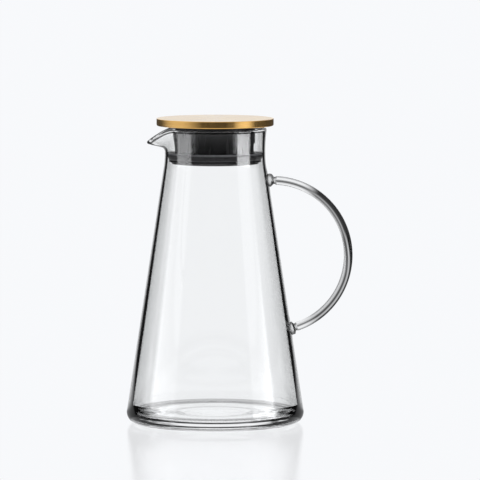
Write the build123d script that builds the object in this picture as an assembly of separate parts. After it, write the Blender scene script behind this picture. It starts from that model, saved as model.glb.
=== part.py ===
from build123d import *
import os
from math import acos, atan2, cos, degrees, hypot, radians, sin, sqrt

# A conical glass carafe with a pulled spout, a bent glass rod handle and a lift-out pouring lid.
# The origin is the centre of the base's underside and +Z is up. The handle points along +X and
# the spout along -X. All sizes are in millimetres and all angles in degrees.

# Glass body
foot_radius = 66.0          # flat underside that the carafe stands on
corner_radius = 9.0         # outside rounding between the underside and the cone
throat_radius = 42.5        # outside of the neck at its narrowest
throat_height = 229.5
neck_sweep_radius = 90.0    # hollow curve that takes the cone into the throat
rim_rise = 20.3             # from the throat up to the top of the lip
rim_flare = 1.1             # how far the lip stands outside the throat
rim_thickness = 3.1         # fire-polished lip
neck_wall = 2.3
base_wall = 4.15            # wall just above the floor
floor_thickness = 9.0
floor_corner_radius = 1.5   # inside rounding between the floor and the wall
mould_ring_radius = 34.5    # shallow ring that the mould leaves in the underside
mould_ring_width = 3.2
mould_ring_depth = 0.8

# Spout
spout_reach = 13.9          # how far the tip stands outside the lip
spout_drop = 10.6           # how far the tip lies below the lip
spout_azimuth = 180.0       # opposite the handle
spout_half_angle = 38.0     # where the lip starts to bend, each side of the tip
spout_tip_angle = 3.0       # rounding of the tip
spout_tip_slope = 17.0      # rise of the channel where it ends
rim_slope = 83.0            # rise of the neck wall where it meets the round lip
rim_pull = 6.0              # stiffness of the lip's upright curve
spout_pull = 9.0            # stiffness of the spout's outward curve
throat_pull = 4.8           # stiffness of the curve where it leaves the throat
spout_stations = (1.0, 0.76, 0.58, 0.42, 0.29, 0.17, 0.08)  # shares of the half angle
glass_seam_tolerance = 0.03  # the spout's foot follows the round throat this closely

# Handle
handle_rod_radius = 3.7
handle_bulge = 51.6         # how far the bend stands off the line between its two ends
upper_weld_drop = 24.2      # from the throat down to the upper weld
lower_weld_height = 81.6
upper_weld_length = 6.8     # from the glass wall to the end of the rod
lower_weld_length = 5.6
weld_radius = 5.6           # where the melted glass meets the wall
weld_disc_thickness = 1.8
weld_neck_radius = 3.1      # where it is thinnest
weld_neck_distance = 2.0    # from the end of the rod to the thinnest place
weld_root_depth = 3.0       # extra length, cut away by the wall

# Lid top
cap_overhang = 5.8          # how far the cap stands outside the glass lip
cap_height = 6.2
cap_gap = 2.0               # from the glass lip up to the lid's underside
cap_sheet = 0.6             # pressed metal
cap_turn_in = 2.2           # width of the edge that is rolled under the core
cap_top_rounding = 0.4
cap_bottom_rounding = 1.1
core_clearance = 0.05       # moulded core inside the pressed cap

# Lid collar
pouring_gap = 6.4           # between the collar and the throat
collar_wall = 2.0
collar_web = 2.5            # closed top of the collar
flange_width = 2.8          # ledge under the seal
flange_height = 1.3
window_width = 21.0         # free pouring opening, on the handle side when the lid strains
window_height = 8.5
window_rise = 0.6           # from the seal up to the window's sill
window_corner = 1.5
slot_count = 9              # fine straining slots, on the other side
slot_width = 1.6
slot_height = 12.0
slot_pitch_angle = 5.4
slot_rise = 1.6             # from the seal up to the slots

# Seal
seal_height = 7.6
seal_drop = 0.55            # from the throat down to the seal's top
seal_neck_clearance = 0.3   # between the lips and the throat
seal_running_clearance = 0.15
seal_lip_depth = 1.4        # how far the upper lip stands out of the ring
seal_lower_lip_inset = 0.5  # the lower lip is a little smaller than the upper one
seal_upper_lip_drop = 2.3   # from the seal's top down to the upper lip
seal_lower_lip_rise = 1.5   # from the seal's bottom up to the lower lip
seal_valley_height = 0.8    # flat between the two lips
seal_end_taper = 0.5        # how much the ring narrows at its top and bottom
seal_lip_rounding = 0.25
seal_key_depth = 0.8        # inner bead of the seal, in a groove of the collar
seal_key_height = 1.6

# Screws
screw_count = 3
screw_first_angle = 90.0    # azimuth of the first one, a quarter turn from the handle
screw_circle_radius = 20.0
screw_shank_radius = 1.45
screw_head_radius = 2.8
screw_head_height = 2.0
screw_grip = 3.6            # length of thread in the core
screw_hole_clearance = 0.2  # around the shank, in the collar's web
screw_recess_width = 1.6    # straight driver slot in the head
screw_recess_depth = 0.9

# Heights and radii that follow from the sizes above
neck_bore = throat_radius - neck_wall
rim_height = throat_height + rim_rise
upper_weld_height = throat_height - upper_weld_drop
cap_radius = throat_radius + rim_flare + cap_overhang
cap_bottom = rim_height + cap_gap
cap_top = cap_bottom + cap_height
seal_top = throat_height - seal_drop
seal_bottom = seal_top - seal_height
seal_middle = (seal_bottom + seal_top) / 2
seal_lip_radius = neck_bore - seal_neck_clearance
seal_band_radius = seal_lip_radius - seal_lip_depth
collar_radius = neck_bore - pouring_gap
flange_top = seal_bottom - seal_running_clearance
collar_bottom = flange_top - flange_height
seal_bore = collar_radius + seal_running_clearance


def disc(radius, bottom, top):
    """A solid disc on the carafe's axis, between two heights."""
    upright = (Align.CENTER, Align.CENTER, Align.MIN)
    return Pos(0, 0, bottom) * Cylinder(radius, top - bottom, align=upright)


def ring(outer_radius, inner_radius, bottom, top):
    """A solid ring on the carafe's axis, between two heights."""
    return disc(outer_radius, bottom, top) - disc(inner_radius, bottom, top)


def radial_plane(azimuth):
    """The upright plane through the axis whose x is the distance from it and whose y is the height."""
    turn = radians(azimuth)
    return Plane(origin=(0, 0, 0), x_dir=(cos(turn), sin(turn), 0), z_dir=(sin(turn), -cos(turn), 0))


# The neck's inner and outer curves share this centre, so the wall there is even.
neck_centre = (throat_radius + neck_sweep_radius, throat_height)


def straight_wall(corner, corner_size, sweep):
    """Ends of the line that touches a rounded corner below and the hollow neck curve above.

    Returns the lower end, the upper end and how far the wall leans in, in radians.
    """
    run = neck_centre[0] - corner[0]
    rise = neck_centre[1] - corner[1]
    lean = atan2(rise, run) - acos((sweep + corner_size) / hypot(run, rise))
    low = (corner[0] + corner_size * cos(lean), corner[1] + corner_size * sin(lean))
    high = (neck_centre[0] - sweep * cos(lean), neck_centre[1] - sweep * sin(lean))
    return low, high, lean


outer_corner = (foot_radius, corner_radius)
outer_low, outer_high, outer_lean = straight_wall(outer_corner, corner_radius, neck_sweep_radius)
inner_corner = (outer_low[0] - base_wall - floor_corner_radius, floor_thickness + floor_corner_radius)
inner_sweep_radius = neck_sweep_radius + neck_wall
inner_low, inner_high, inner_lean = straight_wall(inner_corner, floor_corner_radius, inner_sweep_radius)


def arc_point(centre, radius, angle):
    """The point at an angle, in radians, on a circle of the profile."""
    return (centre[0] + radius * cos(angle), centre[1] + radius * sin(angle))


def corner_arc(centre, radius, low, lean):
    """The rounding from a level face up to the straight wall."""
    middle = arc_point(centre, radius, (lean - radians(90)) / 2)
    return ThreePointArc((centre[0], centre[1] - radius), middle, low)


def neck_arc(radius, high, lean):
    """The hollow curve from the straight wall up to the throat."""
    middle = arc_point(neck_centre, radius, radians(180) + lean / 2)
    return ThreePointArc(high, middle, (neck_centre[0] - radius, throat_height))


def outer_profile():
    """The outside of the glass from the middle of the underside up to the throat."""
    return [
        Line((0, 0), (foot_radius, 0)),
        corner_arc(outer_corner, corner_radius, outer_low, outer_lean),
        Line(outer_low, outer_high),
        neck_arc(neck_sweep_radius, outer_high, outer_lean),
    ]


def inner_profile():
    """The inside of the glass from the middle of the floor up to the throat."""
    return [
        Line((0, floor_thickness), (inner_corner[0], floor_thickness)),
        corner_arc(inner_corner, floor_corner_radius, inner_low, inner_lean),
        Line(inner_low, inner_high),
        neck_arc(inner_sweep_radius, inner_high, inner_lean),
    ]


def glass_outside():
    """The glass below the throat as if it were solid, for cutting what is fused to its wall."""
    closing = [
        Line((throat_radius, throat_height), (0, throat_height)),
        Line((0, throat_height), (0, 0)),
    ]
    return revolve(radial_plane(0) * make_face(outer_profile() + closing), Axis.Z)


def wall_radius(height):
    """Outside radius of the straight or hollow part of the glass wall at a height."""
    if height < outer_high[1]:
        share = (height - outer_low[1]) / (outer_high[1] - outer_low[1])
        return outer_low[0] + share * (outer_high[0] - outer_low[0])
    return neck_centre[0] - sqrt(neck_sweep_radius**2 - (throat_height - height) ** 2)


def spout_share(angle):
    """How much the lip bends out, from 1 at the tip to 0 where the spout starts."""
    rounded = sqrt(angle**2 + spout_tip_angle**2) - spout_tip_angle
    widest = sqrt(spout_half_angle**2 + spout_tip_angle**2) - spout_tip_angle
    return (1 - rounded / widest) ** 2


def blend(plain, bent, share):
    """A value between the plain lip's and the spout's."""
    return plain + share * (bent - plain)


def lip_section(share):
    """Upright section of the neck above the throat, bent out into the spout by a share."""
    lip_radius = rim_thickness / 2
    lip = (
        throat_radius + rim_flare - lip_radius + share * spout_reach,
        rim_height - lip_radius - share * spout_drop,
    )
    slope = radians(blend(rim_slope, spout_tip_slope, share))
    along = (cos(slope), sin(slope))
    across = (sin(slope), -cos(slope))
    pull = blend(rim_pull, spout_pull, share)
    sides = []
    for start_radius, side in ((throat_radius, 1), (neck_bore, -1)):
        end = (lip[0] + side * lip_radius * across[0], lip[1] + side * lip_radius * across[1])
        leaving = (start_radius, throat_height + throat_pull)
        arriving = (end[0] - pull * along[0], end[1] - pull * along[1])
        sides.append(((start_radius, throat_height), leaving, arriving, end))
    outside, inside = sides
    crest = (lip[0] + lip_radius * along[0], lip[1] + lip_radius * along[1])
    return make_face(
        [
            Line(inside[0], outside[0]),
            Bezier(*outside),
            ThreePointArc(outside[-1], crest, inside[-1]),
            Bezier(*reversed(inside)),
        ]
    )


def make_lower_glass():
    """Everything below the throat: thick floor, cone and hollow neck, with the mould's ring."""
    closing = [
        Line((throat_radius, throat_height), (neck_bore, throat_height)),
        Line((0, floor_thickness), (0, 0)),
    ]
    glass = revolve(radial_plane(0) * make_face(outer_profile() + inner_profile() + closing), Axis.Z)
    mould_ring = Pos(mould_ring_radius, 0) * Ellipse(mould_ring_width / 2, mould_ring_depth)
    return glass - revolve(radial_plane(0) * mould_ring, Axis.Z)


def make_upper_glass():
    """Everything above the throat: the plain round lip and the spout pulled out of it."""
    plain_lip = radial_plane(spout_azimuth + spout_half_angle) * lip_section(0)
    lip = revolve(plain_lip, Axis.Z, revolution_arc=360 - 2 * spout_half_angle)
    one_side = [share * spout_half_angle for share in spout_stations]
    angles = [-angle for angle in one_side] + [0] + list(reversed(one_side))
    sections = [radial_plane(spout_azimuth + angle) * lip_section(spout_share(angle)) for angle in angles]
    return lip + loft(sections)


def make_carafe_body():
    """Blown glass body in one piece."""
    return make_lower_glass().solid().fuse(make_upper_glass().solid(), tol=glass_seam_tolerance)


def handle_bend():
    """Centre, radius, upper end and lower end of the arc that the rod's centreline follows."""
    upper = (wall_radius(upper_weld_height) + upper_weld_length, upper_weld_height)
    lower = (wall_radius(lower_weld_height) + lower_weld_length, lower_weld_height)
    run = upper[0] - lower[0]
    rise = upper[1] - lower[1]
    chord = hypot(run, rise)
    radius = (chord**2 / 4 + handle_bulge**2) / (2 * handle_bulge)
    inset = handle_bulge - radius
    outward = (rise / chord, -run / chord)
    centre = (
        (upper[0] + lower[0]) / 2 + inset * outward[0],
        (upper[1] + lower[1]) / 2 + inset * outward[1],
    )
    return centre, radius, upper, lower


def bend_angle(point):
    """Where a point lies around the handle's bend, in radians above the level."""
    centre = handle_bend()[0]
    return atan2(point[1] - centre[1], point[0] - centre[0])


def make_handle_rod():
    """Solid glass rod bent to one arc, square at both ends."""
    centre, radius, upper, lower = handle_bend()
    start = bend_angle(upper)
    end_plane = Plane(origin=(upper[0], 0, upper[1]), z_dir=(sin(start), 0, -cos(start)))
    axis = Axis((centre[0], 0, centre[1]), (0, 1, 0))
    swept = degrees(start - bend_angle(lower))
    return revolve(end_plane * Circle(handle_rod_radius), axis, revolution_arc=swept)


def make_weld(end, toward_wall, length):
    """Melted glass between one end of the rod and the wall, waisted and then flared."""
    outline = Spline(
        (handle_rod_radius, 0),
        (weld_neck_radius, weld_neck_distance),
        (weld_radius, length - weld_disc_thickness),
        (weld_radius, length + weld_root_depth),
        tangents=((0, 1), (0, 1)),
    )
    tip = length + weld_root_depth
    edges = [
        Line((0, 0), (handle_rod_radius, 0)),
        outline,
        Line((weld_radius, tip), (0, tip)),
        Line((0, tip), (0, 0)),
    ]
    seat = Plane(origin=(end[0], 0, end[1]), z_dir=toward_wall)
    bead = revolve(Plane.XZ * make_face(edges), Axis.Z)
    return seat * bead - glass_outside()


def make_handle_upper_weld():
    """Weld between the rod's upper end and the neck."""
    upper = handle_bend()[2]
    angle = bend_angle(upper)
    return make_weld(upper, (-sin(angle), 0, cos(angle)), upper_weld_length)


def make_handle_lower_weld():
    """Weld between the rod's lower end and the cone."""
    lower = handle_bend()[3]
    angle = bend_angle(lower)
    return make_weld(lower, (sin(angle), 0, -cos(angle)), lower_weld_length)


def make_lid_cap():
    """Pressed metal cap, its edge rolled in under the core."""
    shell = disc(cap_radius, cap_bottom, cap_top)
    shell = fillet(shell.edges().group_by(Axis.Z)[-1], cap_top_rounding)
    shell = fillet(shell.edges().group_by(Axis.Z)[0], cap_bottom_rounding)
    hollow = disc(cap_radius - cap_sheet, cap_bottom + cap_sheet, cap_top - cap_sheet)
    hollow = fillet(hollow.edges().group_by(Axis.Z)[0], cap_bottom_rounding - cap_sheet)
    return shell - hollow - disc(cap_radius - cap_turn_in, cap_bottom, cap_bottom + cap_sheet)


def screw_places():
    """Places of the screws around the axis."""
    return PolarLocations(screw_circle_radius, screw_count, start_angle=screw_first_angle)


def make_lid_core():
    """Moulded disc that fills the cap, flush with its rolled edge, with a blind hole for each screw."""
    core = disc(
        cap_radius - cap_sheet - core_clearance,
        cap_bottom + cap_sheet,
        cap_top - cap_sheet,
    )
    core = fillet(core.edges().group_by(Axis.Z)[0], cap_bottom_rounding - cap_sheet)
    core += disc(cap_radius - cap_turn_in - core_clearance, cap_bottom, cap_bottom + cap_sheet)
    for place in screw_places():
        core -= place * disc(screw_shank_radius, cap_bottom, cap_bottom + screw_grip)
    return core


def pour_window():
    """Rounded block that cuts the free pouring opening through the collar's wall."""
    sill = seal_top + window_rise
    outline = RectangleRounded(window_width, window_height, window_corner)
    opening = extrude(Plane.YZ * outline, collar_radius)
    return Pos(collar_radius / 2, 0, sill + window_height / 2) * opening


def straining_slots():
    """Fan of upright round-ended slots on the side away from the window."""
    middle = seal_top + slot_rise + slot_height / 2
    slot = extrude(Plane.YZ * Rot(0, 0, 90) * SlotOverall(slot_height, slot_width), collar_radius)
    slot = Pos(collar_radius / 2, 0, middle) * slot
    first = spout_azimuth - slot_pitch_angle * (slot_count - 1) / 2
    return [Rot(0, 0, first + slot_pitch_angle * n) * slot for n in range(slot_count)]


def make_lid_collar():
    """Open-bottomed tube below the core, closed by a web at its top, with a ledge for the seal."""
    bore = collar_radius - collar_wall
    collar = disc(collar_radius, collar_bottom, cap_bottom)
    collar += disc(collar_radius + flange_width, collar_bottom, flange_top)
    collar -= disc(bore, collar_bottom, cap_bottom - collar_web)
    collar -= ring(
        collar_radius,
        collar_radius - seal_key_depth,
        seal_middle - seal_key_height / 2 - seal_running_clearance,
        seal_middle + seal_key_height / 2 + seal_running_clearance,
    )
    collar -= pour_window()
    for slot in straining_slots():
        collar -= slot
    for place in screw_places():
        hole_radius = screw_shank_radius + screw_hole_clearance
        collar -= place * disc(hole_radius, cap_bottom - collar_web, cap_bottom)
    return collar


def seal_section():
    """Upright section of the two-lipped seal, without its key."""
    lower_lip_radius = seal_lip_radius - seal_lower_lip_inset
    section = make_face(
        Polyline(
            (seal_bore, seal_bottom),
            (seal_band_radius - seal_end_taper, seal_bottom),
            (lower_lip_radius, seal_bottom + seal_lower_lip_rise),
            (seal_band_radius, seal_middle - seal_valley_height / 2),
            (seal_band_radius, seal_middle + seal_valley_height / 2),
            (seal_lip_radius, seal_top - seal_upper_lip_drop),
            (seal_band_radius - seal_end_taper, seal_top),
            (seal_bore, seal_top),
            close=True,
        )
    )
    tips = section.vertices().filter_by(lambda corner: corner.X > seal_band_radius + seal_lip_rounding)
    return fillet(tips, seal_lip_rounding)


def make_seal_ring():
    """Soft ring that grips the neck with two lips and keys into the collar."""
    key = ring(
        seal_bore,
        seal_bore - seal_key_depth,
        seal_middle - seal_key_height / 2,
        seal_middle + seal_key_height / 2,
    )
    return revolve(radial_plane(0) * seal_section(), Axis.Z) + key


def make_lid_screws():
    """Screws that hold the collar's web up against the core."""
    seat = cap_bottom - collar_web
    screws = []
    for place in screw_places():
        head = disc(screw_head_radius, seat - screw_head_height, seat)
        recess = Box(2 * screw_head_radius, screw_recess_width, 2 * screw_recess_depth)
        head -= Pos(0, 0, seat - screw_head_height) * recess
        screws.append(place * (head + disc(screw_shank_radius, seat, cap_bottom + screw_grip)))
    return Compound(children=screws)


parts = {
    "carafe_body": make_carafe_body,
    "handle_rod": make_handle_rod,
    "handle_upper_weld": make_handle_upper_weld,
    "handle_lower_weld": make_handle_lower_weld,
    "lid_cap": make_lid_cap,
    "lid_core": make_lid_core,
    "lid_collar": make_lid_collar,
    "lid_screws": make_lid_screws,
    "seal_ring": make_seal_ring,
}

os.makedirs("parts", exist_ok=True)
for name, make in parts.items():
    export_step(make(), f"parts/{name}.step")
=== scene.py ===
from math import acos, atan2, cos, hypot, pi, radians, sin, sqrt

import bmesh
import bpy
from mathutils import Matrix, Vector


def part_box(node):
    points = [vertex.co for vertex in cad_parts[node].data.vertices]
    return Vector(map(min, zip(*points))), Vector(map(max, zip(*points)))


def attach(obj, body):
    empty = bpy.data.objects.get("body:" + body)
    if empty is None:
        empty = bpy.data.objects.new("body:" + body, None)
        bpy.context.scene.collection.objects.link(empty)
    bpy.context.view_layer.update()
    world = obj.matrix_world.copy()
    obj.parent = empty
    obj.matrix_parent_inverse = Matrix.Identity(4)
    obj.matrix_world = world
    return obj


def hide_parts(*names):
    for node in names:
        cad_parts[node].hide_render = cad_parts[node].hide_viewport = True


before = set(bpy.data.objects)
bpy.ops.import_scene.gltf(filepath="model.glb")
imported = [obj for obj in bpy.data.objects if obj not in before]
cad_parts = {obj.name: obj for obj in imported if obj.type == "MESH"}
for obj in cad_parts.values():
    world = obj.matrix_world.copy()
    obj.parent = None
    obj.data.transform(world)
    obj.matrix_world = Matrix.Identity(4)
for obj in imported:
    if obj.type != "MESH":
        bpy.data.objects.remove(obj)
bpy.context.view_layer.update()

# Looks of a conical glass carafe with a pulled spout, a glass rod handle and a lift-out lid.
# Lengths are in metres. The handle points along +X and the spout along -X.

body_low, body_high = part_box("carafe_body")

# Glass body
foot_radius = 0.066
corner_radius = 0.009
throat_radius = 0.0425
rim_rise = 0.0203
rim_height = body_high.z
throat_height = rim_height - rim_rise
neck_sweep_radius = 0.09
rim_flare = 0.0011
rim_thickness = 0.0031
neck_wall = 0.0023
base_wall = 0.00415
floor_thickness = 0.009
floor_corner_radius = 0.0015
mould_ring_radius = 0.0345
mould_ring_width = 0.0032
mould_ring_depth = 0.0008

# Spout
spout_azimuth = radians(180)
spout_reach = 0.0139
spout_drop = 0.0106
spout_half_angle = radians(38)
spout_tip_angle = radians(3)
spout_tip_slope = radians(17)
rim_slope = radians(83)
rim_pull = 0.006
spout_pull = 0.009
throat_pull = 0.0048

# Handle
handle_rod_radius = 0.0037
handle_bulge = 0.0516
upper_weld_drop = 0.0242
lower_weld_height = 0.0816
upper_weld_length = 0.0068
lower_weld_length = 0.0056
weld_radius = 0.0056
weld_disc_thickness = 0.0018
weld_neck_radius = 0.0031
weld_neck_distance = 0.002
weld_root_depth = 0.0012    # how deep the mesh of a weld goes into the wall
sink_rounds = 12            # each brings a point of the root closer to that depth

# Fineness of the glass mesh
spout_step = radians(0.5)
round_step = radians(0.5)
rod_step = radians(0.6)
rod_sides = 120
weld_steps = 8
middle_radius = 0.006       # of the flat round faces in the middle of the underside and the floor
flat_steps = 4
ring_steps = 8
corner_steps = 20
wall_steps = 28
neck_steps = 14
lip_curve_steps = 16
lip_steps = 14
floor_corner_steps = 14
floor_steps = 12
floor_edge_steps = 3        # how many of them carry painted shade, next to the wall

# Places of the glass finishes in the mesh's list
inside_glass = 0
outside_glass = 1
lip_glass = 2
foot_glass = 3
edge_glass = 4
rod_place = 5
weld_place = 6
painted_line_glass = 7
ring_glass = 8

# Seal
pouring_gap = 0.0064
seal_height = 0.0076
seal_drop = 0.00055
seal_running_clearance = 0.00015
seal_squeeze = 0.00003      # how far the upper lip presses into the glass it touches
seal_steps = 240
seal_lip_rise = 0.0006
seal_lip_width = 0.001
seal_foot_inset = 0.0013
seal_bead = 0.0008
seal_groove = 0.0003
seal_cup_depth = 0.0014
seal_groove_height = 0.0016
seal_swell_height = 0.00256
seal_lip_height = 0.0015
seal_lip_pull = 0.004
seal_top = throat_height - seal_drop + seal_lip_rise
seal_bottom = throat_height - seal_drop - seal_height
seal_floor_steps = 3
seal_bead_steps = 10
seal_side_steps = 14
seal_lip_steps = 6
seal_cup_steps = 10
seal_bore_steps = 4

# Painted shade on the glass, in place of the dark studio seen in its slanted faces: how much light the glass
# lets through, by how slanted it is seen: 0 is face on, 1 is edge on
outside_painted_shade = (
    (0.0, 0.98),
    (0.40, 0.98),
    (0.48, 0.72),
    (0.61, 0.72),
    (0.645, 0.5),
    (0.66, 0.0),
    (0.76, 0.0),
    (0.78, 0.01),
    (0.84, 0.05),
    (0.92, 0.1),
    (1.0, 0.3),
)
lip_painted_shade = ((0.0, 0.95), (0.6, 0.95), (0.75, 0.1), (1.0, 0.1))
foot_painted_shade = (
    (0.0, 0.95),
    (0.2, 0.95),
    (0.28, 0.6),
    (0.38, 0.1),
    (0.48, 0.0),
    (0.88, 0.0),
    (1.0, 0.02),
)
floor_edge_painted_shade = ((0.0, 0.35), (0.5, 0.35), (0.7, 0.5), (0.85, 0.1), (1.0, 0.05))
weld_painted_shade = (
    (0.0, 0.75),
    (0.1, 0.5),
    (0.2, 0.15),
    (0.55, 0.1),
    (0.65, 0.5),
    (0.78, 0.3),
    (0.85, 0.02),
    (1.0, 0.1),
)

# Painted shade on strips of glass, as dark from every side
lip_line_painted_shade = 0.03
ring_painted_shade = 0.78

# Level faces of the lip and the foot have painted shade of their own, from this levelness on
level_start = 0.35
level_full = 0.8
lip_crest_painted_shade = 0.03
foot_level_painted_shade = 0.75

# Unevenness of the painted shade: how far streaks shift it, and how many times finer than usual they are
foot_wobble = 0.7
foot_fineness = 2.0
floor_edge_wobble = 0.3
weld_wobble = 0.4
weld_fineness = 3.0

# Painted shade on the handle's rod, as how much light it lets through, from the bend's inner edge at 0 to
# its outer edge at 1
rod_middle_painted_shade = (
    (0.0, 0.3),
    (0.18, 0.8),
    (0.35, 0.08),
    (0.44, 0.08),
    (0.6, 0.75),
    (0.71, 0.01),
    (0.9, 0.005),
    (1.0, 0.1),
)
rod_upper_painted_shade = (
    (0.0, 0.4),
    (0.15, 0.98),
    (0.28, 0.06),
    (0.42, 0.45),
    (0.56, 0.05),
    (0.9, 0.01),
    (1.0, 0.2),
)
rod_lying_painted_shade = (
    (0.0, 0.98),
    (0.27, 0.98),
    (0.41, 0.1),
    (0.47, 0.1),
    (0.62, 0.98),
    (0.76, 0.98),
    (0.9, 0.25),
    (1.0, 0.15),
)

# Where along the bend these painted shades meet, by the sine of the angle above the bend's middle
rod_low = -0.35
rod_high = 0.25
rod_upper_start = 0.18
rod_upper_full = 0.36
rod_leaning = 0.8
rod_lying = 0.93
rod_outward_sway = 0.11     # how far the middle bands move outwards from the bend's middle down
rod_inward_sway = 0.1

# Patterns of the finishes: the fineness of noise, per metre except where a name ends in around, where
# it is for one radian or so round the axis, the relief's depth in metres, the range of roughness, and
# colours by the noise's value, which hardly leaves 0.3 to 0.7
noise_low = 0.3
noise_high = 0.7
streak_across = 260.0
streak_around = 5.0
brushing_across = 2600.0
brushing_around = 1.3
brushing_depth = 0.000012
burst_around = 7.0          # streaks that spread from the middle of the cap's top, in its roughness and, as painted sheen, in its colour
burst_low = 0.35
burst_high = 0.65
gold_roughness = (0.14, 0.24)
rim_gold = ((0.3, (0.74, 0.42, 0.12)), (0.7, (0.9, 0.56, 0.19)))
# The top's gold is paler than the rim's: painted sheen
top_gold_painted_sheen = ((0.38, (0.86, 0.56, 0.24)), (0.62, (0.96, 0.76, 0.46)))
top_start = 0.8             # how level the cap's face is where the top's paler gold, a painted sheen, begins, and is full
top_full = 0.98
collar_fineness = 320.0
collar_stretch = 0.12
collar_depth = 0.00001
collar_roughness = (0.2, 0.3)
core_fineness = 5200.0
core_depth = 0.00002
core_roughness = (0.34, 0.5)
core_blacks = ((0.3, (0.014, 0.014, 0.015)), (0.7, (0.026, 0.026, 0.027)))
screw_fineness = 3200.0
screw_depth = 0.00001
screw_roughness = (0.22, 0.4)
screw_greys = ((0.3, (0.5, 0.5, 0.5)), (0.7, (0.66, 0.65, 0.64)))
silicone_fineness = 260.0
silicone_depth = 0.00003
silicone_roughness = (0.3, 0.42)
silicone_clouding = ((0.3, (0.8, 0.8, 0.84)), (0.7, (1.0, 1.0, 1.05)))

# Greys of the seal from its bottom at 0 to its top at 1: its own dark grey, with painted shade along the
# bottom edge and painted highlights on the lower bead and the top lip
seal_greys_and_painted_light = (
    (0.0, 0.003),
    (0.15, 0.003),
    (0.2, 0.17),
    (0.32, 0.06),
    (0.85, 0.05),
    (0.93, 0.26),
    (1.0, 0.35),
)

# Camera and studio
camera_place = (0.021, -4.0, 0.505)
camera_pitch = radians(5.003)
camera_lens = 356.25
sensor_width = 36.0
floor_drop = 0.0002         # keeps the floor clear of the glass's underside
floor_half_width = 30.0
backdrop_colour = (0.947, 0.956, 0.973, 1.0)

# Lamps, by degrees round from the camera's side, and how bright things look to each kind of ray
lamp_spans = ((-97, -57), (53, 87))
brushed_spans = ((-112, -44), (43, 76))
lamp_softness = (1.5, 1.5)
back_edge = 156
back_softness = 8
through_level = 0.945
low_ceiling = radians(38)
high_ceiling = radians(50)
ceiling_level = 0.03
sky_level = 1.0
flag_middle = 131           # dark flags that stand upright on both sides, by degrees round
flag_reach = 18
flag_softness = 5
flag_level = 0.08
near_flag_middle = 112      # the same for the floor close by
near_flag_reach = 26
near_flag_level = 0.4
sky_lamps = (0.7, 0.7)
floor_dark = 0.05
floor_lamps = (3.0, 7.0)
brushed_dark = 0.08
brushed_lamps = (0.8, 1.2)
brushed_softness = (24, 10)
brushed_back = 0.86
brushed_rise = radians(4)   # brushed faces see the pale studio all round above this
brushed_top = radians(9)
brushed_open = 1.0
brushed_near = 0.34
brushed_far = 0.6
near_floor = 0.5
far_floor = 1.6
low_sky = radians(4)        # up to here the sky goes on with the far floor's brightness
open_sky = radians(7)
floor_diffuse_level = 0.8
floor_gloss = 0.22
floor_grain = 0.00006
floor_fineness = 900.0

# How often light may pass a glass face, or be mirrored, before it is lost
glass_bounces = 24
gloss_bounces = 16


def arc(centre, radius, start, end, steps):
    """Points on a circle of the profile, from one angle to another, without the last one."""
    turn = (end - start) / steps
    return [
        (centre[0] + radius * cos(start + turn * n), centre[1] + radius * sin(start + turn * n))
        for n in range(steps)
    ]


def line(start, end, steps):
    """Points on a straight line, without the last one."""
    run = (end[0] - start[0]) / steps
    rise = (end[1] - start[1]) / steps
    return [(start[0] + run * n, start[1] + rise * n) for n in range(steps)]


def bezier(first, leaving, arriving, last, steps):
    """Points on a cubic curve, without the last one."""
    points = []
    for n in range(steps):
        t = n / steps
        shares = ((1 - t) ** 3, 3 * t * (1 - t) ** 2, 3 * t**2 * (1 - t), t**3)
        corners = (first, leaving, arriving, last)
        points.append(tuple(sum(s * c[axis] for s, c in zip(shares, corners)) for axis in (0, 1)))
    return points


neck_centre = (throat_radius + neck_sweep_radius, throat_height)


def straight_wall(corner, corner_size, sweep):
    """Ends and lean of the line that touches a rounded corner below and the hollow neck above."""
    run = neck_centre[0] - corner[0]
    rise = neck_centre[1] - corner[1]
    lean = atan2(rise, run) - acos((sweep + corner_size) / hypot(run, rise))
    low = (corner[0] + corner_size * cos(lean), corner[1] + corner_size * sin(lean))
    high = (neck_centre[0] - sweep * cos(lean), neck_centre[1] - sweep * sin(lean))
    return low, high, lean


outer_corner = (foot_radius, corner_radius)
outer_low, outer_high, outer_lean = straight_wall(outer_corner, corner_radius, neck_sweep_radius)
inner_corner = (outer_low[0] - base_wall - floor_corner_radius, floor_thickness + floor_corner_radius)
inner_sweep_radius = neck_sweep_radius + neck_wall
inner_low, inner_high, inner_lean = straight_wall(inner_corner, floor_corner_radius, inner_sweep_radius)


def lower_outside():
    """The profile from the middle of the underside out, up the cone and on to the throat."""
    ring_low = mould_ring_radius - mould_ring_width / 2
    ring_high = mould_ring_radius + mould_ring_width / 2
    points = line((middle_radius, 0), (ring_low, 0), flat_steps)
    for n in range(ring_steps):
        turn = pi - pi * n / ring_steps
        points.append((mould_ring_radius + mould_ring_width / 2 * cos(turn), mould_ring_depth * sin(turn)))
    points += line((ring_high, 0), (foot_radius, 0), flat_steps)
    points += arc(outer_corner, corner_radius, -pi / 2, outer_lean, corner_steps)
    points += line(outer_low, outer_high, wall_steps)
    points += arc(neck_centre, neck_sweep_radius, pi + outer_lean, pi, neck_steps)
    return points


def lower_inside():
    """The profile from the throat down the inside and in to the middle of the floor."""
    points = arc(neck_centre, inner_sweep_radius, pi, pi + inner_lean, neck_steps)
    points += line(inner_high, inner_low, wall_steps)
    points += arc(inner_corner, floor_corner_radius, inner_lean, -pi / 2, floor_corner_steps)
    points += line((inner_corner[0], floor_thickness), (middle_radius, floor_thickness), floor_steps)
    return points + [(middle_radius, floor_thickness)]


def spout_share(angle):
    """How much the lip bends out at an angle from the spout's middle, from 1 at the tip down to 0."""
    if abs(angle) >= spout_half_angle:
        return 0.0
    rounded = sqrt(angle**2 + spout_tip_angle**2) - spout_tip_angle
    widest = sqrt(spout_half_angle**2 + spout_tip_angle**2) - spout_tip_angle
    return (1 - rounded / widest) ** 2


def blend(plain, bent, share):
    """A value between the plain lip's and the spout's."""
    return plain + share * (bent - plain)


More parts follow.
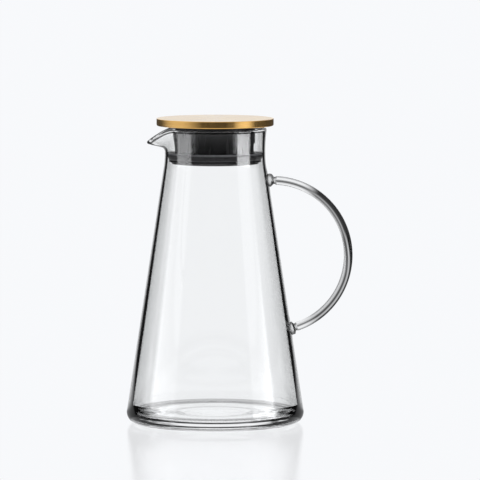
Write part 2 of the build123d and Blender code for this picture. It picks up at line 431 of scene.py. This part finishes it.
def upper_section(share):
    """The profile up the outside above the throat, round the lip and down the inside."""
    lip_radius = rim_thickness / 2
    lip = (
        throat_radius + rim_flare - lip_radius + share * spout_reach,
        rim_height - lip_radius - share * spout_drop,
    )
    slope = blend(rim_slope, spout_tip_slope, share)
    pull = blend(rim_pull, spout_pull, share)
    sides = []
    for start_radius, side in ((throat_radius, 1), (throat_radius - neck_wall, -1)):
        end = (lip[0] + side * lip_radius * sin(slope), lip[1] - side * lip_radius * cos(slope))
        leaving = (start_radius, throat_height + throat_pull)
        arriving = (end[0] - pull * cos(slope), end[1] - pull * sin(slope))
        sides.append(((start_radius, throat_height), leaving, arriving, end))
    outside, inside = sides
    points = bezier(*outside, lip_curve_steps)
    points += arc(lip, lip_radius, slope - pi / 2, slope + pi / 2, lip_steps)
    return points + bezier(*reversed(inside), lip_curve_steps)


def azimuths():
    """Angles around the axis, finer over the spout."""
    fine = round(2 * spout_half_angle / spout_step)
    coarse = round((2 * pi - 2 * spout_half_angle) / round_step)
    start = spout_azimuth - spout_half_angle
    over_spout = [start + 2 * spout_half_angle * n / fine for n in range(fine)]
    start = spout_azimuth + spout_half_angle
    return over_spout + [start + (2 * pi - 2 * spout_half_angle) * n / coarse for n in range(coarse)]


def new_object(name, mesh):
    """An object in the scene for a mesh."""
    made = bpy.data.objects.new(name, mesh)
    bpy.context.scene.collection.objects.link(made)
    return made


def mesh_from(name, points, faces):
    """A smooth-shaded mesh whose faces all point outwards."""
    mesh = bpy.data.meshes.new(name)
    mesh.from_pydata(points, [], faces)
    shape = bmesh.new()
    shape.from_mesh(mesh)
    bmesh.ops.recalc_face_normals(shape, faces=shape.faces)
    shape.to_mesh(mesh)
    shape.free()
    mesh.polygons.foreach_set("use_smooth", [True] * len(mesh.polygons))
    return mesh


def section_finishes():
    """The finish of each strip of the section, in the order of its points."""
    finishes = [inside_glass] * flat_steps + [ring_glass] * ring_steps + [inside_glass] * flat_steps
    finishes += [foot_glass] * (corner_steps + 1)
    finishes += [outside_glass] * (wall_steps + neck_steps + lip_curve_steps - 2) + [painted_line_glass]
    finishes += [lip_glass] * (lip_steps + 1)
    finishes += [inside_glass] * (lip_curve_steps - 1 + neck_steps + wall_steps)
    finishes += [edge_glass] * (floor_corner_steps + floor_edge_steps)
    return finishes + [inside_glass] * (floor_steps - floor_edge_steps)


def glass_body():
    """Closed mesh of the blown body: underside, cone, neck, lip, spout, inside and floor."""
    below = lower_outside()
    inside = lower_inside()
    turns = azimuths()
    points = []
    for turn in turns:
        section = below + upper_section(spout_share(turn - spout_azimuth)) + inside
        points += [(r * cos(turn), r * sin(turn), z) for r, z in section]
    width = len(section)
    faces = []
    for column in range(len(turns)):
        here = column * width
        after = (column + 1) % len(turns) * width
        faces += [(here + n, after + n, after + n + 1, here + n + 1) for n in range(width - 1)]
    faces.append([column * width for column in range(len(turns))])
    faces.append([column * width + width - 1 for column in range(len(turns))])
    body = new_object("glass_carafe", mesh_from("glass_carafe", points, faces))
    finishes = section_finishes() * len(turns) + [inside_glass, inside_glass]
    body.data.polygons.foreach_set("material_index", finishes)
    return body


def wall_radius(height):
    """Outside radius of the cone or the hollow neck at a height."""
    if height < outer_high[1]:
        share = (height - outer_low[1]) / (outer_high[1] - outer_low[1])
        return outer_low[0] + share * (outer_high[0] - outer_low[0])
    return neck_centre[0] - sqrt(neck_sweep_radius**2 - (throat_height - height) ** 2)


def handle_bend():
    """Centre, radius, upper end and lower end of the arc that the rod follows."""
    upper_height = throat_height - upper_weld_drop
    upper = (wall_radius(upper_height) + upper_weld_length, upper_height)
    lower = (wall_radius(lower_weld_height) + lower_weld_length, lower_weld_height)
    run = upper[0] - lower[0]
    rise = upper[1] - lower[1]
    chord = hypot(run, rise)
    radius = (chord**2 / 4 + handle_bulge**2) / (2 * handle_bulge)
    inset = handle_bulge - radius
    centre = (
        (upper[0] + lower[0]) / 2 + inset * rise / chord,
        (upper[1] + lower[1]) / 2 - inset * run / chord,
    )
    return centre, radius, upper, lower


def smooth_steps(keys, steps):
    """Distances and sizes that pass smoothly through each pair of the keys."""
    found = []
    for (near, near_size), (far, far_size) in zip(keys, keys[1:]):
        for n in range(steps):
            share = n / steps
            eased = share * share * (3 - 2 * share)
            found.append((blend(near, far, share), blend(near_size, far_size, eased)))
    return found + [keys[-1]]


def weld_rings(end, direction, length):
    """Centres, directions and radii of the rings of one weld, from the rod's end into the wall."""
    keys = (
        (0, handle_rod_radius),
        (weld_neck_distance, weld_neck_radius),
        (length - weld_disc_thickness, weld_radius),
        (length + weld_root_depth, weld_radius),
    )
    rings = []
    for distance, radius in smooth_steps(keys, weld_steps)[1:]:
        place = (end[0] + distance * direction[0], end[1] + distance * direction[1])
        rings.append((place, direction, radius))
    return rings


def handle_rings():
    """Rings of the whole handle from the root of the upper weld, round the bend, to the lower one."""
    centre, bend_radius, upper, lower = handle_bend()
    start = atan2(upper[1] - centre[1], upper[0] - centre[0])
    stop = atan2(lower[1] - centre[1], lower[0] - centre[0])
    toward_upper = (-sin(start), cos(start))
    toward_lower = (sin(stop), -cos(stop))
    rings = []
    for place, direction, radius in reversed(weld_rings(upper, toward_upper, upper_weld_length)):
        rings.append((place, (-direction[0], -direction[1]), radius))
    steps = round((start - stop) / rod_step)
    for n in range(steps + 1):
        turn = start + (stop - start) * n / steps
        place = (centre[0] + bend_radius * cos(turn), centre[1] + bend_radius * sin(turn))
        rings.append((place, (sin(turn), -cos(turn)), handle_rod_radius))
    return rings + weld_rings(lower, toward_lower, lower_weld_length)


def sink_into_wall(point, direction):
    """The point moved along a direction until it lies the root's depth inside the wall's face."""
    moved = Vector(point)
    for _ in range(sink_rounds):
        short = hypot(moved.x, moved.y) - (wall_radius(moved.z) - weld_root_depth)
        moved += Vector((direction[0], 0, direction[1])) * short
    return tuple(moved)


def glass_handle():
    """Closed mesh of the glass rod with its two welds, rooted inside the wall."""
    rings = handle_rings()
    points = []
    for place, direction, radius in rings:
        for side in range(rod_sides):
            turn = 2 * pi * side / rod_sides
            out = radius * cos(turn)
            points.append((place[0] - out * direction[1], radius * sin(turn), place[1] + out * direction[0]))
    last = len(points) - rod_sides
    first_way = (-rings[0][1][0], -rings[0][1][1])
    points[:rod_sides] = [sink_into_wall(point, first_way) for point in points[:rod_sides]]
    points[last:] = [sink_into_wall(point, rings[-1][1]) for point in points[last:]]
    faces = []
    for ring in range(len(rings) - 1):
        here = ring * rod_sides
        for side in range(rod_sides):
            after = (side + 1) % rod_sides
            faces.append((here + side, here + after, here + rod_sides + after, here + rod_sides + side))
    faces.append(list(range(rod_sides)))
    faces.append(list(range(last, last + rod_sides)))
    handle = new_object("handle", mesh_from("handle", points, faces))
    weld = [weld_place] * 3 * weld_steps * rod_sides
    rod = [rod_place] * (len(faces) - 2 - 2 * len(weld))
    handle.data.polygons.foreach_set("material_index", weld + rod + weld + [weld_place, weld_place])
    return handle


def join_solid(body, added):
    """Unites two closed meshes into one with no wall left between them, each with its own finish."""
    union = body.modifiers.new("union", "BOOLEAN")
    union.operation = "UNION"
    union.solver = "EXACT"
    union.material_mode = "INDEX"
    union.object = added
    seen = body.evaluated_get(bpy.context.evaluated_depsgraph_get())
    united = bpy.data.meshes.new_from_object(seen)
    body.modifiers.clear()
    body.data = united
    bpy.data.objects.remove(added)
    return body


def socket(node, value, name):
    """Sets an input of a node to a number, a colour or another node's output."""
    if isinstance(value, bpy.types.NodeSocket):
        node.id_data.links.new(value, node.inputs[name])
    else:
        node.inputs[name].default_value = value


def add(tree, kind, settings=None, inputs=None):
    """A new node with its settings and inputs."""
    node = tree.nodes.new("ShaderNode" + kind)
    for name, value in (settings or {}).items():
        setattr(node, name, value)
    for name, value in (inputs or {}).items():
        socket(node, value, name)
    return node


def sum_of(tree, operation, *values):
    """The result of a Math node."""
    node = add(tree, "Math", {"operation": operation}, dict(enumerate(values)))
    return node.outputs[0]


def ramp_between(tree, value, low, high, low_result, high_result):
    """A smooth change from one result to another as a value goes from low to high."""
    node = add(
        tree,
        "MapRange",
        {"interpolation_type": "SMOOTHSTEP"},
        {0: value, 1: low, 2: high, 3: low_result, 4: high_result},
    )
    return node.outputs[0]


def new_material(name):
    """A material with its node tree emptied of all but its output."""
    material = bpy.data.materials.new(name)
    material.use_nodes = True
    tree = material.node_tree
    tree.nodes.clear()
    output = tree.nodes.new("ShaderNodeOutputMaterial")
    return material, tree, output


def principled(name, inputs):
    """A material with one Principled shader, and that shader for linking more to it."""
    material, tree, output = new_material(name)
    shader = add(tree, "BsdfPrincipled", inputs=inputs)
    tree.links.new(shader.outputs[0], output.inputs[0])
    return material, tree, shader


def ramp(tree, value, stops):
    """A grey or coloured band of stops, each a place and a colour, read at a value."""
    node = add(tree, "ValToRGB", inputs={0: value})
    band = node.color_ramp
    while len(band.elements) < len(stops):
        band.elements.new(0.5)
    for element, (place, _) in zip(band.elements, stops):
        element.position = place
    for element, (_, colour) in zip(band.elements, stops):
        element.color = (*colour, 1)
    return node.outputs[0]


def greys(stops):
    """Stops of a band whose colours are plain greys."""
    return [(place, (level, level, level)) for place, level in stops]


def noise(tree, vector, scale, detail=2.0):
    """Soft random values from 0 to 1 in space."""
    node = add(tree, "TexNoise", inputs={"Vector": vector, "Scale": scale, "Detail": detail})
    return node.outputs[0]


def bump(tree, shader, height, depth, strength=1.0):
    """Gives a shader a fine relief of a depth in metres."""
    node = add(tree, "Bump", inputs={"Height": height, "Distance": depth, "Strength": strength})
    socket(shader, node.outputs[0], "Normal")


def rough_between(tree, shader, pattern, limits, low=noise_low, high=noise_high):
    """Lets a shader's roughness follow a pattern from one limit to the other."""
    socket(shader, ramp_between(tree, pattern, low, high, *limits), "Roughness")


def turned_place(tree, across, around):
    """Texture place whose pattern runs round the axis: fine across the turning, long around it."""
    place = add(tree, "TexCoord").outputs["Object"]
    parts = add(tree, "SeparateXYZ", inputs={0: place}).outputs
    level = add(tree, "CombineXYZ", inputs={0: parts[0], 1: parts[1]}).outputs[0]
    outward = add(tree, "VectorMath", {"operation": "NORMALIZE"}, {0: level}).outputs[0]
    distance = add(tree, "VectorMath", {"operation": "LENGTH"}, {0: level}).outputs["Value"]
    turned = add(tree, "SeparateXYZ", inputs={0: outward}).outputs
    run = sum_of(tree, "MULTIPLY", sum_of(tree, "ADD", distance, parts[2]), across)
    x = sum_of(tree, "MULTIPLY", turned[0], around)
    y = sum_of(tree, "MULTIPLY", turned[1], around)
    return add(tree, "CombineXYZ", inputs={0: x, 1: y, 2: run}).outputs[0]


def clear_glass(name):
    """Clear fire-polished glass."""
    return principled(
        name,
        {
            "Base Color": (0.985, 0.992, 0.99, 1),
            "Roughness": 0.0,
            "IOR": 1.47,
            "Transmission Weight": 1.0,
        },
    )


def slant_of(tree):
    """How slanted a face is seen: 0 face on, 1 edge on."""
    return add(tree, "LayerWeight", inputs={"Blend": 0.5}).outputs["Facing"]


def glass_with_painted_shade(name, stops, wobble=0.0, fineness=1.0, level_painted_shade=None):
    """Clear glass with painted shade that darkens it as it is seen more slanted.

    Streaks round the axis shift the painted shade by the wobble, and level faces keep painted shade of their
    own.
    """
    material, tree, shader = clear_glass(name)
    slant = slant_of(tree)
    if wobble:
        streaks = noise(tree, turned_place(tree, streak_across * fineness, streak_around), 1.0, 3.0)
        shift = sum_of(tree, "MULTIPLY", sum_of(tree, "SUBTRACT", streaks, 0.5), wobble)
        slant = sum_of(tree, "ADD", slant, shift)
    painted_darkness = ramp(tree, slant, greys(stops))
    if level_painted_shade:
        upward = add(tree, "SeparateXYZ", inputs={0: add(tree, "TexCoord").outputs["Normal"]}).outputs[2]
        levelness = sum_of(tree, "ABSOLUTE", upward)
        share = ramp_between(tree, levelness, level_start, level_full, 0.0, 1.0)
        grey = (level_painted_shade, level_painted_shade, level_painted_shade, 1)
        painted_darkness = add(tree, "Mix", {"data_type": "RGBA"}, {0: share, 6: painted_darkness, 7: grey}).outputs[2]
    socket(shader, painted_darkness, "Base Color")
    socket(shader, painted_darkness, "Specular Tint")
    return material


def glass_with_even_painted_shade(name, painted_darkness):
    """Clear glass with painted shade, the same darkness from every side."""
    material, _, shader = clear_glass(name)
    socket(shader, (painted_darkness, painted_darkness, painted_darkness, 1), "Base Color")
    socket(shader, (painted_darkness, painted_darkness, painted_darkness, 1), "Specular Tint")
    return material


def rod_glass_with_painted_shade():
    """Glass of the handle: painted shade in dark bands along the rod where it stands upright, clear where it
    lies.
    """
    material, tree, shader = clear_glass("glass_rod")
    upright = sum_of(tree, "SUBTRACT", 1.0, slant_of(tree))
    squared = sum_of(tree, "MULTIPLY", upright, upright)
    across = sum_of(tree, "SQRT", sum_of(tree, "SUBTRACT", 1.0, squared))
    place = add(tree, "TexCoord").outputs
    centre, bend_radius = handle_bend()[:2]
    spoke = add(
        tree, "VectorMath", {"operation": "SUBTRACT"}, {0: place["Object"], 1: (centre[0], 0, centre[1])}
    ).outputs[0]
    outward = add(tree, "VectorMath", {"operation": "NORMALIZE"}, {0: spoke}).outputs[0]
    distance = add(tree, "VectorMath", {"operation": "LENGTH"}, {0: spoke}).outputs["Value"]
    sign = sum_of(tree, "SIGN", sum_of(tree, "SUBTRACT", distance, bend_radius))
    shift = sum_of(tree, "MULTIPLY_ADD", sum_of(tree, "MULTIPLY", across, sign), 0.5, 0.5)
    height = add(tree, "SeparateXYZ", inputs={0: outward}).outputs[2]
    sway = ramp_between(tree, height, rod_low, rod_high, rod_outward_sway, -rod_inward_sway)
    upper = ramp_between(tree, height, rod_upper_start, rod_upper_full, 0.0, 1.0)
    lying = ramp_between(tree, sum_of(tree, "ABSOLUTE", height), rod_leaning, rod_lying, 0.0, 1.0)
    painted_darkness = ramp(tree, sum_of(tree, "SUBTRACT", shift, sway), greys(rod_middle_painted_shade))
    for share, stops in ((upper, rod_upper_painted_shade), (lying, rod_lying_painted_shade)):
        band = ramp(tree, shift, greys(stops))
        painted_darkness = add(tree, "Mix", {"data_type": "RGBA"}, {0: share, 6: painted_darkness, 7: band}).outputs[2]
    socket(shader, painted_darkness, "Base Color")
    socket(shader, painted_darkness, "Specular Tint")
    return material


def gold_steel():
    """Gold-coloured steel with fine brushing that runs round the axis, and on its level top a paler gold
    with radial streaks as painted sheen.
    """
    material, tree, shader = principled(
        "gold_steel",
        {
            "Metallic": 1.0,
            "Anisotropic": 0.5,
            "Coat Weight": 0.15,
            "Coat Roughness": 0.12,
        },
    )
    lines = noise(tree, turned_place(tree, brushing_across, brushing_around), 1.0, 3.0)
    streaks = noise(tree, turned_place(tree, 0.0, burst_around), 1.0, 2.0)
    # The level top takes a paler gold with radial streaks: painted sheen
    upward = add(tree, "SeparateXYZ", inputs={0: add(tree, "TexCoord").outputs["Normal"]}).outputs[2]
    top = ramp_between(tree, upward, top_start, top_full, 0.0, 1.0)
    gold_and_painted_sheen = {0: top, 6: ramp(tree, lines, rim_gold), 7: ramp(tree, streaks, top_gold_painted_sheen)}
    socket(shader, add(tree, "Mix", {"data_type": "RGBA"}, gold_and_painted_sheen).outputs[2], "Base Color")
    rough_between(tree, shader, streaks, gold_roughness, burst_low, burst_high)
    around = add(tree, "Tangent", {"direction_type": "RADIAL", "axis": "Z"})
    socket(shader, around.outputs[0], "Tangent")
    bump(tree, shader, lines, brushing_depth)
    return material


def dark_gloss():
    """Near-black moulded plastic with a polished face."""
    material, tree, shader = principled(
        "dark_gloss",
        {"Base Color": (0.01, 0.01, 0.011, 1), "IOR": 1.5, "Specular IOR Level": 0.35},
    )
    place = add(tree, "TexCoord").outputs["Object"]
    drawn = add(tree, "Mapping", inputs={"Vector": place, "Scale": (1, 1, collar_stretch)}).outputs[0]
    flow = noise(tree, drawn, collar_fineness, 3.0)
    rough_between(tree, shader, flow, collar_roughness)
    bump(tree, shader, flow, collar_depth)
    return material


def dark_core():
    """Satin black plastic of the lid's core."""
    material, tree, shader = principled("dark_core", {"IOR": 1.5})
    place = add(tree, "TexCoord").outputs["Object"]
    grain = noise(tree, place, core_fineness, 2.0)
    socket(shader, ramp(tree, grain, core_blacks), "Base Color")
    rough_between(tree, shader, grain, core_roughness)
    bump(tree, shader, grain, core_depth)
    return material


def screw_steel():
    """Plain steel of the screws."""
    material, tree, shader = principled("screw_steel", {"Metallic": 1.0})
    place = add(tree, "TexCoord").outputs["Object"]
    marks = noise(tree, place, screw_fineness, 2.0)
    socket(shader, ramp(tree, marks, screw_greys), "Base Color")
    rough_between(tree, shader, marks, screw_roughness)
    bump(tree, shader, marks, screw_depth)
    return material


def grey_silicone():
    """Translucent dark grey silicone, with painted shade along its bottom edge and painted highlights on its
    lower bead and top lip.
    """
    material, tree, shader = principled(
        "grey_silicone",
        {"IOR": 1.41, "Transmission Weight": 0.25, "Specular IOR Level": 0.25},
    )
    place = add(tree, "TexCoord").outputs["Object"]
    cloud = noise(tree, place, silicone_fineness, 3.0)
    # Greys by height: painted shade along the bottom edge and painted highlights on the lower bead and the
    # top lip, over the seal's own dark grey
    height = add(tree, "SeparateXYZ", inputs={0: place}).outputs[2]
    rise = ramp_between(tree, height, seal_bottom, seal_top, 0.0, 1.0)
    band = ramp(tree, rise, greys(seal_greys_and_painted_light))
    clouding = ramp(tree, cloud, silicone_clouding)
    multiply = {"data_type": "RGBA", "blend_type": "MULTIPLY"}
    colour = add(tree, "Mix", multiply, {0: 1.0, 6: band, 7: clouding})
    socket(shader, colour.outputs[2], "Base Color")
    rough_between(tree, shader, cloud, silicone_roughness)
    bump(tree, shader, cloud, silicone_depth)
    return material


def azimuth_of(tree, direction):
    """Degrees round from the camera's side of the carafe, positive towards the handle."""
    parts = add(tree, "SeparateXYZ", inputs={0: direction}).outputs
    turn = sum_of(tree, "ARCTAN2", parts[0], sum_of(tree, "MULTIPLY", parts[1], -1.0))
    return sum_of(tree, "MULTIPLY", turn, 180 / pi)


def lamp_levels(tree, azimuth, spans, levels, softness=lamp_softness):
    """Brightness of the two tall soft lamps at an azimuth."""
    found = []
    for (first, last), level, soft in zip(spans, levels, softness):
        off = sum_of(tree, "SUBTRACT", azimuth, (first + last) / 2)
        reach = (last - first) / 2
        away = sum_of(tree, "ABSOLUTE", off)
        found.append(ramp_between(tree, away, reach - soft, reach + soft, level, 0.0))
    return sum_of(tree, "ADD", *found)


def level_by_ray(tree, camera_level, diffuse_level, seen_through, mirrored, brushed):
    """Brightness for each kind of ray: the camera's, seen through, mirrored, brushed and diffuse."""
    path = add(tree, "LightPath").outputs
    reflected = sum_of(tree, "GREATER_THAN", path["Glossy Depth"], 0.5)
    value = diffuse_level
    choice = {0: path["Is Singular Ray"], 2: brushed, 3: mirrored}
    shiny = add(tree, "Mix", {"data_type": "FLOAT"}, choice)
    for share, level in (
        (path["Is Transmission Ray"], seen_through),
        (reflected, shiny.outputs[0]),
        (path["Is Camera Ray"], camera_level),
    ):
        mixed = add(tree, "Mix", {"data_type": "FLOAT"}, {0: share, 2: value, 3: level})
        value = mixed.outputs[0]
    return value


def back_level(tree, behind, level):
    """Brightness of the studio's pale back, dark elsewhere."""
    return ramp_between(tree, behind, back_edge - back_softness, back_edge + back_softness, 0.0, level)


def far_level(tree, azimuth):
    """What mirrors show low down and far away: dark, with the strong lamps and a bright back."""
    behind = sum_of(tree, "ABSOLUTE", azimuth)
    back = back_level(tree, behind, 1.0)
    lamps = lamp_levels(tree, azimuth, lamp_spans, floor_lamps)
    return sum_of(tree, "MAXIMUM", back, sum_of(tree, "ADD", lamps, floor_dark))


def between_flags(tree, behind, middle, reach, level):
    """The bright studio with an upright dark flag on both sides."""
    away = sum_of(tree, "ABSOLUTE", sum_of(tree, "SUBTRACT", behind, middle))
    return ramp_between(tree, away, reach - flag_softness, reach + flag_softness, level, sky_level)


def build_world():
    """Pale studio all round, with tall lamps that only the object shows."""
    world = bpy.data.worlds.new("studio")
    bpy.context.scene.world = world
    world.use_nodes = True
    tree = world.node_tree
    tree.nodes.clear()
    direction = add(tree, "TexCoord").outputs["Generated"]
    azimuth = azimuth_of(tree, direction)
    behind = sum_of(tree, "ABSOLUTE", azimuth)
    height = add(tree, "SeparateXYZ", inputs={0: direction}).outputs[2]
    plain_sky = between_flags(tree, behind, flag_middle, flag_reach, flag_level)
    open_level = sum_of(tree, "ADD", lamp_levels(tree, azimuth, lamp_spans, sky_lamps), plain_sky)
    opening = ramp_between(tree, height, sin(low_sky), sin(open_sky), 0.0, 1.0)
    skies = {0: opening, 2: far_level(tree, azimuth), 3: open_level}
    mirrored = add(tree, "Mix", {"data_type": "FLOAT"}, skies).outputs[0]
    back = back_level(tree, behind, brushed_back)
    lamps = lamp_levels(tree, azimuth, brushed_spans, brushed_lamps, brushed_softness)
    overhead = ramp_between(tree, height, sin(brushed_rise), sin(brushed_top), 0.0, brushed_open)
    level = sum_of(tree, "MAXIMUM", back, sum_of(tree, "ADD", lamps, brushed_dark))
    brushed = sum_of(tree, "MAXIMUM", overhead, level)
    through = ramp_between(tree, height, sin(low_ceiling), sin(high_ceiling), through_level, ceiling_level)
    strength = level_by_ray(tree, 1.0, 1.0, through, mirrored, brushed)
    light = add(tree, "Background", inputs={0: backdrop_colour, 1: strength})
    output = tree.nodes.new("ShaderNodeOutputWorld")
    tree.links.new(light.outputs[0], output.inputs[0])


def floor_material():
    """Pale floor that shows a soft reflection of what stands on it."""
    material, tree, output = new_material("pale_floor")
    place = add(tree, "NewGeometry").outputs["Position"]
    azimuth = azimuth_of(tree, place)
    distance = add(tree, "VectorMath", {"operation": "LENGTH"}, {0: place}).outputs["Value"]
    far = far_level(tree, azimuth)
    near_share = ramp_between(tree, distance, near_floor, far_floor, 1.0, 0.0)
    behind = sum_of(tree, "ABSOLUTE", azimuth)
    near = between_flags(tree, behind, near_flag_middle, near_flag_reach, near_flag_level)
    mirrored = add(tree, "Mix", {"data_type": "FLOAT"}, {0: near_share, 2: far, 3: near}).outputs[0]
    gold_lamps = lamp_levels(tree, azimuth, brushed_spans, brushed_lamps, brushed_softness)
    close_by = ramp_between(tree, distance, brushed_near, brushed_far, 1.0, 0.0)
    brushed = sum_of(tree, "MAXIMUM", close_by, sum_of(tree, "ADD", gold_lamps, brushed_dark))
    strength = level_by_ray(
        tree, 1.0 - floor_gloss, floor_diffuse_level, through_level, mirrored, brushed
    )
    glow = add(tree, "Emission", inputs={0: backdrop_colour, 1: strength})
    gloss = add(tree, "BsdfGlossy", inputs={"Color": backdrop_colour, "Roughness": 0.0})
    grain = noise(tree, add(tree, "TexCoord").outputs["Object"], floor_fineness, 1.0)
    bump(tree, gloss, grain, floor_grain)
    share = sum_of(tree, "MULTIPLY", add(tree, "LightPath").outputs["Is Camera Ray"], floor_gloss)
    nothing = add(tree, "Emission", inputs={1: 0.0})
    mirror = add(tree, "MixShader", inputs={0: share, 1: nothing.outputs[0], 2: gloss.outputs[0]})
    both = add(tree, "AddShader", inputs={0: glow.outputs[0], 1: mirror.outputs[0]})
    tree.links.new(both.outputs[0], output.inputs[0])
    return material


def build_floor():
    """Level pale floor under the carafe."""
    half = floor_half_width
    corners = [(-half, -half), (half, -half), (half, half), (-half, half)]
    mesh = bpy.data.meshes.new("floor")
    mesh.from_pydata([(x, y, -floor_drop) for x, y in corners], [], [(0, 1, 2, 3)])
    floor = new_object("floor", mesh)
    mesh.materials.append(floor_material())


def build_camera():
    """Long-lens camera a little above the carafe."""
    data = bpy.data.cameras.new("camera")
    data.lens = camera_lens
    data.sensor_width = sensor_width
    camera = bpy.data.objects.new("camera", data)
    camera.location = camera_place
    camera.rotation_euler = (pi / 2 - camera_pitch, 0, 0)
    bpy.context.scene.collection.objects.link(camera)
    bpy.context.scene.camera = camera


def dress(node_name, material):
    """Gives a CAD node its finish."""
    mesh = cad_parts[node_name].data
    mesh.materials.clear()
    mesh.materials.append(material)


def build_glass():
    """The glass body and handle as one piece of glass."""
    finishes = [
        clear_glass("glass_inside")[0],
        glass_with_painted_shade("glass_outside", outside_painted_shade),
        glass_with_painted_shade("glass_lip", lip_painted_shade, level_painted_shade=lip_crest_painted_shade),
        glass_with_painted_shade("glass_foot", foot_painted_shade, foot_wobble, foot_fineness, level_painted_shade=foot_level_painted_shade),
        glass_with_painted_shade("glass_floor_edge", floor_edge_painted_shade, floor_edge_wobble),
        rod_glass_with_painted_shade(),
        glass_with_painted_shade("glass_weld", weld_painted_shade, weld_wobble, weld_fineness),
        glass_with_even_painted_shade("glass_lip_line", lip_line_painted_shade),
        glass_with_even_painted_shade("glass_ring", ring_painted_shade),
    ]
    body = glass_body()
    handle = glass_handle()
    for piece in (body, handle):
        for finish in finishes:
            piece.data.materials.append(finish)
    glass = join_solid(body, handle)
    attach(glass, "carafe")
    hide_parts("carafe_body", "handle_rod", "handle_upper_weld", "handle_lower_weld")


def seal_profile():
    """Closed section of the seal: a band that widens into a cup whose lip meets the glass."""
    touch = throat_radius - neck_wall + seal_squeeze
    top = seal_top
    bottom = seal_bottom
    bore = throat_radius - neck_wall - pouring_gap + seal_running_clearance
    foot = touch - seal_foot_inset
    bead = (foot - seal_bead, bottom)
    groove = (foot - seal_groove, bottom + seal_groove_height)
    lip = (touch, top - seal_lip_height)
    crest = (touch - seal_lip_width / 2, top)
    cup = (bore, top - seal_cup_depth)
    points = line((bore, bottom), bead, seal_floor_steps)
    points += bezier(bead, (foot, bottom), (foot, bottom + seal_bead), groove, seal_bead_steps)
    swell = (foot, bottom + seal_swell_height)
    points += bezier(groove, swell, (touch, top - seal_lip_pull), lip, seal_side_steps)
    points += bezier(lip, (touch, top - seal_lip_width / 3), (touch, top), crest, seal_lip_steps)
    inward = (touch - 1.5 * seal_lip_width, top)
    points += bezier(crest, inward, (touch - 2 * seal_lip_width, cup[1]), cup, seal_cup_steps)
    return points + line(cup, (bore, bottom), seal_bore_steps)


def build_seal():
    """Soft ring between the collar and the neck."""
    section = seal_profile()
    width = len(section)
    points = []
    for step in range(seal_steps):
        turn = 2 * pi * step / seal_steps
        points += [(r * cos(turn), r * sin(turn), z) for r, z in section]
    faces = []
    for step in range(seal_steps):
        here = step * width
        after = (step + 1) % seal_steps * width
        for n in range(width):
            up = (n + 1) % width
            faces.append((here + n, after + n, after + up, here + up))
    seal = new_object("lip_seal", mesh_from("lip_seal", points, faces))
    seal.data.materials.append(grey_silicone())
    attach(seal, "seal")
    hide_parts("seal_ring")


build_camera()
build_world()
build_floor()
build_glass()
build_seal()
dress("lid_cap", gold_steel())
dress("lid_core", dark_core())
dress("lid_collar", dark_gloss())
dress("lid_screws", screw_steel())

scene = bpy.context.scene
scene.view_settings.view_transform = "Standard"
scene.cycles.max_bounces = glass_bounces
scene.cycles.transmission_bounces = glass_bounces
scene.cycles.glossy_bounces = gloss_bounces
